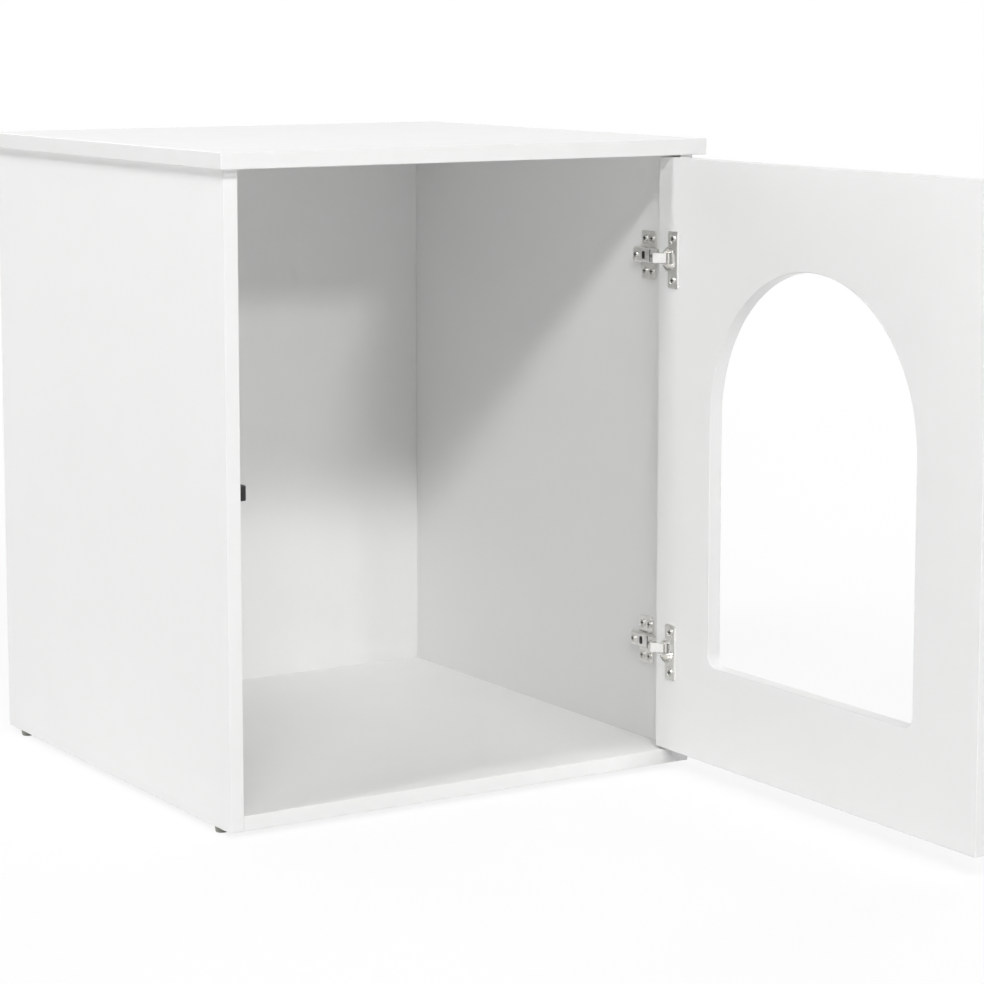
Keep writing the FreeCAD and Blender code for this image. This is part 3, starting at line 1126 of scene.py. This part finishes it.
@dataclass
class CupHinge:
    """A cup hinge: plate and arm on the side, cup in the door."""

    which: Hinge
    sheet: float = 1.6 * MM
    nose_width: float = 10 * MM
    nose_length: float = 3.0 * MM
    nose_rise: float = 0.3 * MM
    web_width: float = 15.4 * MM
    cheek_start: float = 9 * MM
    bend_radius: float = 2.2 * MM
    bend_steps: int = 5
    fold_steps: int = 3
    knuckle_radius: float = 1.5 * MM
    knuckle_sides: int = 24
    slot_length: float = 5 * MM
    slot_width: float = 8 * MM
    groove_length: float = 1.5 * MM
    groove_width: float = 12.4 * MM
    groove_setback: float = 11.5 * MM
    opening_steps: int = 3
    # Half of an opening with a little room, within which a face belongs to it.
    opening_share: float = 0.53
    recess_depth: float = 5.0 * MM
    bridge_setback: float = 18.5 * MM
    wing_thickness: float = 2 * MM
    wing_width: float = 24 * MM
    wing_setback: float = 40 * MM
    rail_width: float = 12 * MM
    corner_radius: float = 3 * MM
    corner_steps: int = 5
    flange_length: float = 58 * MM
    flange_width: float = 17.5 * MM
    flange_thickness: float = 1.2 * MM
    flange_front: float = 15.3 * MM
    flange_chamfer: float = 1.7 * MM
    cup_setback: float = 18.5 * MM
    cup_radius: float = 11.9 * MM
    rim_radius: float = 12.8 * MM
    rim_steps: int = 3
    well_radius: float = 11.2 * MM
    floor_thickness: float = 1.0 * MM
    dimple_radius: float = 5 * MM
    dimple_depth: float = 0.5 * MM
    notch: HingeNotch = HingeNotch()
    flange_screw_pitch: float = 42 * MM
    plate_screw_pitch: float = 34 * MM
    plate_screw_spread: float = 12 * MM
    arm_screw_setback: float = 5 * MM
    edge_radius: float = 0.3 * MM
    edge_steps: int = 2

    def __post_init__(self) -> None:
        """Read the hinge's places from its nodes."""
        self.arm_low, self.arm_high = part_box(self.which.node("arm"))
        self.plate_low, self.plate_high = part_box(self.which.node("plate"))
        self.cup_low, self.cup_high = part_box(self.which.node("cup"))
        self.pivot = middle_of_node(self.which.node("pin"))
        self.z = self.pivot.z
        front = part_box("right_side_panel")[0].y
        self.wing_front = front + self.wing_setback
        self.wing_middle = self.wing_front + self.wing_width / 2
        self.bridge_y = front + self.bridge_setback + self.sheet / 2
        self.web_x = self.plate_low.x - self.sheet / 2
        self.cup_y = self.cup_high.y - self.cup_setback
        self.flange_y = self.cup_y - self.flange_front + self.flange_width / 2

    def plate(self) -> Piece:
        """Model the winged plate with its rail.

        Returns:
            The plate.
        """
        low, high = self.plate_low, self.plate_high
        wings = add_box("mounting_plate",
                        Vector((high.x - self.wing_thickness, self.wing_front, low.z)),
                        Vector((high.x, self.wing_front + self.wing_width, high.z)))
        round_edges(wings, Axis.X.along, self.corner_radius, self.corner_steps)
        rail = add_box("rail", Vector((low.x, low.y, self.z - self.rail_width / 2)),
                       Vector((high.x, high.y, self.z + self.rail_width / 2)))
        weld(wings, rail)
        carve(wings, *self.opening_tools(), *self.dimple_tools(self.plate_screw_places()))
        face = high.x - self.wing_thickness + NEAR
        round_edges(wings, lambda edge: is_sharp(edge) and middle_of(edge).x < face,
                    self.edge_radius, self.edge_steps)
        smooth(wings)
        wings.data.materials.append(NICKEL.material())
        # Paints shade into the slot and the groove.
        dress_faces(wings, PAINTED_RECESS_SHADE, self.is_opening)
        return wings

    def is_opening(self, face: Face) -> bool:
        """Tell whether a face lies inside the slot or the groove.

        Args:
            face: A face of the plate.

        Returns:
            Whether it does, below the plate's own face.
        """
        middle = face.calc_center_median()
        inside = any(abs(middle.y - y) <= self.opening_share * length
                     and abs(middle.z - self.z) <= self.opening_share * width
                     for y, length, width in self.openings())
        return inside and MM / 2 < middle.x - self.plate_low.x < self.recess_depth

    def openings(self) -> list[tuple[float, float, float]]:
        """Return the middle, length and width of the slot and the groove across the arm's face."""
        return [(self.wing_middle, self.slot_length, self.slot_width),
                (self.wing_middle - self.groove_setback, self.groove_length, self.groove_width)]

    def opening_tools(self) -> list[Piece]:
        """Model the tools that open the slot and the groove below the arm's face.

        Returns:
            The tools.
        """
        tools = []
        for y, length, width in self.openings():
            half = Vector((0, length / 2, width / 2))
            middle = Vector((self.web_x - self.sheet / 2, y, self.z))
            tool = add_box("opening", middle - half - Axis.X.vector(CUT_OVERRUN),
                           middle + half + Axis.X.vector(self.recess_depth))
            round_edges(tool, Axis.X.along, length / 4, self.opening_steps)
            tools.append(tool)
        return tools

    def dimple_tools(self, places: Sequence[Matrix]) -> list[Piece]:
        """Return the tools that sink a shallow dimple around each screw."""
        sink, run = Axis.X.vector(self.dimple_depth), Axis.X.vector(-self.dimple_depth - CUT_OVERRUN)
        return [add_rod("dimple", self.dimple_radius, place.translation + sink, run) for place in places]

    def arm(self) -> Piece:
        """Fold the arm from one strip of sheet, and weld its knuckle on.

        Returns:
            The arm.
        """
        rear = self.arm_high.y
        fold = self.bridge_y + self.cheek_start
        width = self.web_width - self.sheet
        bpy.ops.object.select_all(action="DESELECT")
        bpy.ops.mesh.primitive_plane_add(size=1.0, location=(self.web_x, (rear + fold) / 2, self.z),
                                         rotation=(0, math.pi / 2, 0))
        bpy.context.object.scale = (width, rear - fold, 1)
        arm = take_up("folded_arm")
        self.fold_front(arm, fold, self.nose_width / width)
        cheek_run = Axis.X.vector(self.arm_high.x - self.web_x)
        with editing(arm, Choice.EDGES) as mesh:
            choose(arm, mesh.edges, lambda edge: middle_of(edge).y > fold + MM
                   and abs(abs(middle_of(edge).z - self.z) - width / 2) < NEAR)
            bpy.ops.mesh.extrude_region_move(TRANSFORM_OT_translate={"value": cheek_run})
        round_edges(arm, lambda edge: is_sharp(edge) and Axis.Z.along(edge),
                    self.bend_radius, self.bend_steps)
        round_edges(arm, lambda edge: is_sharp(edge) and Axis.Y.along(edge),
                    self.sheet, self.fold_steps)
        apply_modifier(arm, "SOLIDIFY", thickness=self.sheet, offset=0.0)
        carve(arm, *self.opening_tools())
        start = self.pivot - Axis.Z.vector(self.nose_width / 2)
        weld(arm, add_rod("knuckle", self.knuckle_radius, start, Axis.Z.vector(self.nose_width),
                          self.knuckle_sides))
        round_edges(arm, is_sharp, self.edge_radius / 2, self.edge_steps)
        smooth(arm)
        return arm

    def fold_front(self, arm: Piece, fold: float, narrowing: float) -> None:
        """Draw the arm's front edge on to the knuckle, one turn after another.

        Args:
            arm: The flat strip.
            fold: Where its front edge is.
            narrowing: Width of the nose as a share of the strip's.
        """
        leg_x = self.arm_low.x + self.sheet / 2
        turns = [
            (Vector((self.web_x, self.bridge_y, 0)), narrowing),
            (Vector((leg_x, self.bridge_y, 0)), 1.0),
            (Vector((self.pivot.x - self.nose_length, self.pivot.y + self.nose_rise, 0)), 1.0),
            (Vector((self.pivot.x - self.knuckle_radius / 2, self.pivot.y, 0)), 1.0),
        ]
        here = Vector((self.web_x, fold, 0))
        with editing(arm, Choice.EDGES) as mesh:
            choose(arm, mesh.edges,
                   lambda edge: all(abs(vert.co.y - fold) < NEAR for vert in edge.verts))
            for there, share in turns:
                bpy.ops.mesh.extrude_region_move(TRANSFORM_OT_translate={"value": there - here})
                bpy.ops.transform.resize(value=(1, 1, share),
                                         center_override=(there.x, there.y, self.z))
                here = there

    def cup(self) -> Piece:
        """Model the cup with its rim, flange and open well.

        Returns:
            The cup.
        """
        face = self.cup_low.x
        middle = Vector((face, self.cup_y, self.z))
        depth = self.cup_high.x - face
        cup = add_rod("pressed_cup", self.cup_radius, middle, Axis.X.vector(depth), CUP_SIDES)
        rim = add_rod("rim", self.rim_radius, middle, Axis.X.vector(self.flange_thickness), CUP_SIDES)
        weld(cup, rim, self.flange(face))
        run = Axis.X.vector(depth + CUT_OVERRUN - self.floor_thickness)
        well = add_rod("well", self.well_radius, middle - Axis.X.vector(CUT_OVERRUN), run, CUP_SIDES)
        carve(cup, well, self.notch.tool(self.pivot), *self.dimple_tools(self.cup_screw_places()))
        round_edges(cup, lambda edge: is_sharp(edge) and abs(middle_of(edge).x - face) < NEAR,
                    self.edge_radius, self.rim_steps)
        smooth(cup)
        return cup

    def flange(self, face: float) -> Piece:
        """Model the flange that lies on the door, with its front edge chamfered.

        Args:
            face: Where its outer face is.

        Returns:
            The flange.
        """
        half = Vector((0, self.flange_width / 2, self.flange_length / 2))
        centre = Vector((face, self.flange_y, self.z))
        flange = add_box("flange", centre - half, centre + half + Axis.X.vector(self.flange_thickness))
        round_edges(flange, Axis.X.along, self.corner_radius, self.corner_steps)
        front = centre.y - half.y
        with editing(flange, Choice.EDGES) as mesh:
            choose(flange, mesh.edges, lambda edge: Axis.Z.along(edge)
                   and middle_of(edge).y < front + NEAR and middle_of(edge).x < face + NEAR)
            bpy.ops.transform.translate(value=Axis.Y.vector(self.flange_chamfer))
        return flange

    def seat(self, x: float, y: float, z: float) -> Matrix:
        """Return the seat of a screw that faces the inside of the cabinet."""
        return facing(Vector((x, y, z)), Axis.X.vector(-1))

    def plate_screw_places(self) -> list[Matrix]:
        """Return the seats of the four plate screws.

        Returns:
            The lower two, then the upper two.
        """
        x = self.plate_high.x - self.wing_thickness
        spread, pitch = self.plate_screw_spread / 2, self.plate_screw_pitch / 2
        return [self.seat(x, self.wing_middle + shift * spread, self.z + way * pitch)
                for way in (-1, 1) for shift in (-1, 1)]

    def cup_screw_places(self) -> list[Matrix]:
        """Return the seats of the two cup screws."""
        return [self.seat(self.cup_low.x, self.flange_y, self.z + way * self.flange_screw_pitch / 2)
                for way in (-1, 1)]

    def fixing_screw_places(self) -> list[Matrix]:
        """Return the seat of the rear screw, which holds the arm on its plate."""
        y = self.plate_high.y - self.arm_screw_setback
        return [self.seat(self.web_x - self.sheet / 2, y, self.z)]

    def adjusting_screw_places(self) -> list[Matrix]:
        """Return the seat of the front screw, which sets the door's side gap."""
        y = self.plate_low.y + self.arm_screw_setback
        return [self.seat(self.web_x - self.sheet / 2, y, self.z)]


@dataclass
class HingePair:
    """Both hinges with their screws."""

    wood_screw: CrossScrew = CrossScrew()
    arm_screw: CrossScrew = CrossScrew("arm_screw_head", radius=3.2 * MM, height=1.4 * MM)

    def build(self) -> None:
        """Model one hinge, copy it to both places and set all the screws."""
        model = CupHinge(Hinge.LOWER)
        hinges = [model, CupHinge(Hinge.UPPER)]
        places = [Matrix.Translation(hinge.pivot - model.pivot) for hinge in hinges]
        for piece, body, part in ((model.plate(), Body.CABINET, "plate"),
                                  (model.arm(), Body.CABINET, "arm"),
                                  (model.cup(), Body.DOOR, "cup")):
            mesh = lift(piece)
            for hinge, copy in zip(hinges, copies(mesh, places)):
                copy.name = f"{hinge.which.value}_{mesh.name}"
                hand_over(copy, body, hinge.which.node(part), NICKEL)
        for screw, label, body, seats in (
                (self.wood_screw, "plate", Body.CABINET, CupHinge.plate_screw_places),
                (self.wood_screw, "cup", Body.DOOR, CupHinge.cup_screw_places),
                (self.arm_screw, "fixing", Body.CABINET, CupHinge.fixing_screw_places),
                (self.arm_screw, "adjusting", Body.CABINET, CupHinge.adjusting_screw_places)):
            places = [seat for hinge in hinges for seat in seats(hinge)]
            screw.build(f"hinge_{label}_screw_heads", f"hinge_{label}_screws", body, places)


@dataclass
class HiddenHardware:
    """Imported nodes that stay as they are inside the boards, each with its finish."""

    finishes: ClassVar[dict[str, Finish]] = {
        "top_dowels": BEECH, "base_dowels": BEECH,
        "top_cam_bolts": ZINC, "base_cam_bolts": ZINC, "foot_nails": ZINC,
        "top_cams": CAST_ZINC, "base_cams": CAST_ZINC,
        "upper_hinge_pin": NICKEL, "lower_hinge_pin": NICKEL,
    }

    def dress(self, nodes: dict[str, Piece]) -> None:
        """Give each node its finish.

        Args:
            nodes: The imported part's nodes by name.
        """
        for name, finish in self.finishes.items():
            for place in nodes[name].material_slots:
                place.material = finish.material()
            LOG.info("%s keeps its own shape", name)


# Studio


@dataclass(frozen=True)
class Lamp:
    """A wide soft lamp that faces the cabinet."""

    name: str
    place: Place
    target: Place
    width: float
    height: float
    power: float

    def build(self) -> None:
        """Hang the lamp."""
        data = bpy.data.lights.new(self.name, "AREA")
        data.shape = "RECTANGLE"
        data.size = self.width
        data.size_y = self.height
        data.energy = self.power
        lamp = bpy.data.objects.new(self.name, data)
        bpy.context.collection.objects.link(lamp)
        lamp.location = self.place
        way = Vector(self.target) - Vector(self.place)
        lamp.rotation_euler = way.to_track_quat("-Z", "Y").to_euler()


@dataclass
class Studio:
    """Floor, surrounding light, lamps and camera."""

    white: tuple[float, float, float, float] = (1.0, 1.0, 1.0, 1.0)
    ambient: float = 0.08
    floor_size: float = 200.0
    floor_color: Color = (0.9, 0.9, 0.9)
    floor_roughness: float = 0.9
    floor_glow: float = 0.85
    floor_fade: tuple[float, float] = (0.8, 3.0)
    lamps: tuple[Lamp, ...] = (
        Lamp("front_lamp", (-2.0, -4.25, 3.84), (-1.0, 0.0, 0.3), width=4.0, height=0.5, power=204.0),
        Lamp("low_front_lamp", (0.72, -6.73, 2.85), (0.1, 0.0, 0.3), width=0.6, height=0.4, power=80.0),
        Lamp("left_lamp", (-2.7, 2.3, 0.8), (-0.27, 0.0, 0.35), width=1.6, height=1.0, power=10.0),
        Lamp("door_lamp", (-4.0, -0.47, 5.03), (0.0, -0.4, 0.4), width=0.7, height=2.3, power=130.0),
        Lamp("right_lamp", (3.0, 0.6, 1.4), (0.27, -0.2, 0.35), width=2.0, height=1.5, power=42.0),
        Lamp("back_lamp", (-0.6, 3.2, 2.2), (0.0, 0.26, 0.35), width=2.0, height=1.5, power=29.0),
    )
    camera_place: Place = (-1.5473, -2.7503, 0.7839)
    camera_turn: float = math.radians(32.293)
    camera_tilt: float = math.radians(7.313)
    camera_lens: float = 110.84
    camera_sensor: float = 36.0
    camera_shift: float = -0.1

    def build(self) -> None:
        """Set up the whole studio."""
        bpy.context.scene.view_settings.view_transform = "Standard"
        self.build_floor()
        self.build_world()
        for lamp in self.lamps:
            lamp.build()
        self.build_camera()

    def seen_directly(self, wiring: Wiring) -> Socket:
        """Mask the rays that show the background: camera, glossy and transmission rays.

        Args:
            wiring: The tree that needs the mask.

        Returns:
            The mask.
        """
        path = wiring.add("LightPath").outputs
        shown = wiring.calculate("MAXIMUM", path["Is Camera Ray"], path["Is Glossy Ray"])
        return wiring.calculate("MAXIMUM", shown, path["Is Transmission Ray"])

    def build_floor(self) -> None:
        """Lay the pale floor, which shows near white and keeps a faint shadow."""
        bpy.ops.object.select_all(action="DESELECT")
        bpy.ops.mesh.primitive_plane_add(size=self.floor_size)
        floor = take_up("studio_floor")
        material = bpy.data.materials.new("pale_floor")
        material.use_nodes = True
        wiring = Wiring(material.node_tree)
        nodes = material.node_tree.nodes
        shader = nodes["Principled BSDF"]
        wiring.feed(shader, "Base Color", (*self.floor_color, 1.0))
        wiring.feed(shader, "Roughness", self.floor_roughness)
        wiring.feed(shader, "Specular IOR Level", 0.0)
        glow = wiring.add("Emission", Color=self.white, Strength=1.0)
        distance = wiring.add("VectorMath")
        distance.operation = "LENGTH"
        wiring.feed(distance, 0, wiring.add("TexCoord").outputs["Object"])
        fade = wiring.spread(distance.outputs["Value"], self.floor_fade, self.floor_glow, 1.0)
        share = wiring.calculate("MULTIPLY", self.seen_directly(wiring), fade)
        mixed = wiring.add("MixShader", Fac=share)
        wiring.feed(mixed, 1, shader.outputs[0])
        wiring.feed(mixed, 2, glow.outputs[0])
        wiring.feed(nodes["Material Output"], "Surface", mixed.outputs[0])
        floor.data.materials.append(material)

    def build_world(self) -> None:
        """Surround the scene with even light that shows white."""
        world = bpy.data.worlds.new("studio_world")
        bpy.context.scene.world = world
        world.use_nodes = True
        wiring = Wiring(world.node_tree)
        background = world.node_tree.nodes["Background"]
        wiring.feed(background, "Color", self.white)
        level = wiring.spread(self.seen_directly(wiring), FULL_RANGE, self.ambient, 1.0)
        wiring.feed(background, "Strength", level)

    def build_camera(self) -> None:
        """Place the camera at the photograph's angle."""
        data = bpy.data.cameras.new("camera")
        data.lens = self.camera_lens
        data.sensor_width = self.camera_sensor
        data.shift_y = self.camera_shift
        camera = bpy.data.objects.new("camera", data)
        bpy.context.collection.objects.link(camera)
        camera.location = self.camera_place
        camera.rotation_euler = (math.pi / 2 - self.camera_tilt, 0.0, -self.camera_turn)
        bpy.context.scene.camera = camera


PANELS: tuple[Panel, ...] = (
    Panel("top_panel", Body.CABINET, Axis.Z, edge_radius=1.0 * MM),
    Panel("left_side_panel", Body.CABINET, Axis.X),
    Panel("right_side_panel", Body.CABINET, Axis.X),
    BasePanel("base_panel", Body.CABINET, Axis.Z),
    Panel("back_panel", Body.CABINET, Axis.Y, HARDBOARD, HARDBOARD, edge_radius=0.3 * MM, edge_steps=2),
    DoorPanel("door_panel", Body.DOOR, Axis.X, edge_radius=1.0 * MM),
)


def main() -> None:
    """Build every sub-assembly and the studio."""
    logging.basicConfig(level=logging.INFO, format="%(message)s")
    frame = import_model()
    for panel in PANELS:
        panel.build()
    HingePair().build()
    DoorStop().build()
    Feet().build()
    BackNails().build()
    CamCaps().build()
    HiddenHardware().dress(frame["nodes"])
    Studio().build()


if __name__ == "__main__":
    main()
